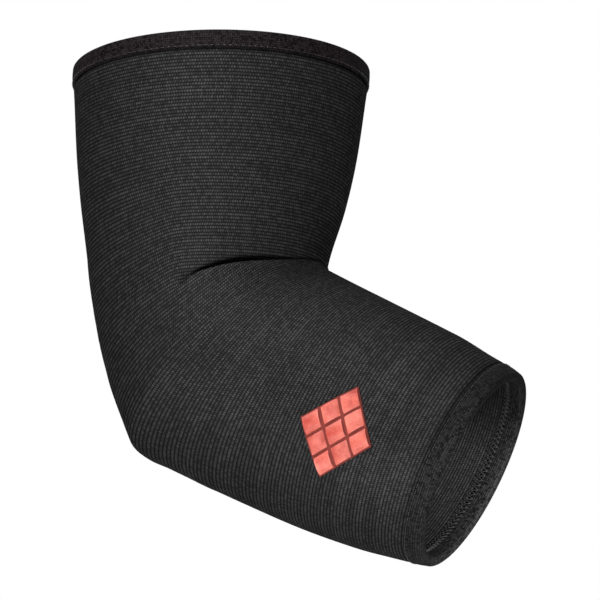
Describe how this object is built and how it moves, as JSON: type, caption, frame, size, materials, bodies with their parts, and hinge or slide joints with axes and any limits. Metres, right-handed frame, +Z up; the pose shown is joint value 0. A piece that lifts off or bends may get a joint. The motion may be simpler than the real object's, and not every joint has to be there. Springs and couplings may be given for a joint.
{
  "type": "elbow brace",
  "caption": "Pull-on knitted elbow sleeve in worn form, bent at the elbow, with folded tape rims and a small embroidered emblem.",
  "frame": {"origin": "centre of the elbow's hollow, where the upper arm's axis meets the forearm's, which is where an arm holds the sleeve", "axes": "+Z up the upper arm, the forearm toward +X and downward, -Y toward the side with the emblem"},
  "size_m": [0.1661, 0.101, 0.1821],
  "materials": {
    "knit": "matte black rib knit",
    "tape": "smooth elastic tape",
    "thread": "satin embroidery thread"
  },
  "bodies": {
    "root": {"sleeve": "knit", "upper_binding": "tape", "forearm_binding": "tape", "embroidered_emblem": "thread"}
  },
  "joints": []
}
